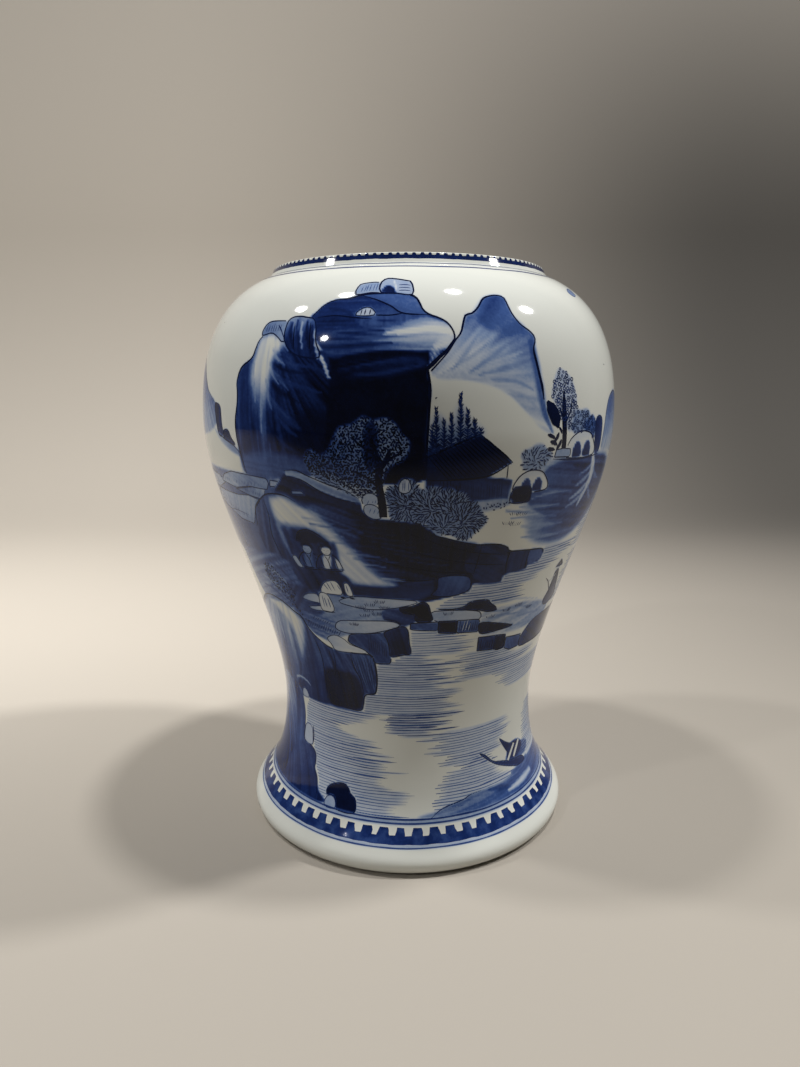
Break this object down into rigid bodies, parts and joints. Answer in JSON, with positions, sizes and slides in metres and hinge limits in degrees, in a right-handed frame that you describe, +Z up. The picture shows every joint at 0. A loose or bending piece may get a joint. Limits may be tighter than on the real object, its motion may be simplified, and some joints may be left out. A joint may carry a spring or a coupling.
{
  "type": "baluster vase",
  "caption": "Blue and white porcelain baluster vase with a short collar, rounded shoulder, narrow waist and flared rolled foot, painted with a landscape of mountains and water; holds flowers.",
  "frame": {"origin": "on the floor under the middle of the foot, on the vase's axis", "axes": "+Z up along the vase's axis, -Y towards the painted face that the picture shows, +X to the right of that face"},
  "size_m": [0.2142, 0.2142, 0.29],
  "materials": {
    "white_glaze": "clear glaze over white porcelain",
    "painted_glaze": "cobalt blue painting under a clear glaze, given as its mean colour",
    "luting_slip": "fired porcelain slip, unglazed"
  },
  "bodies": {
    "root": {"foot_section": "white_glaze", "base_disc": "white_glaze", "lower_body": "painted_glaze", "upper_body": "painted_glaze", "shoulder": "painted_glaze", "collar": "white_glaze", "base_slip_seam": "luting_slip", "foot_slip_seam": "luting_slip", "body_slip_seam": "luting_slip", "shoulder_slip_seam": "luting_slip", "collar_slip_seam": "luting_slip"}
  },
  "joints": []
}
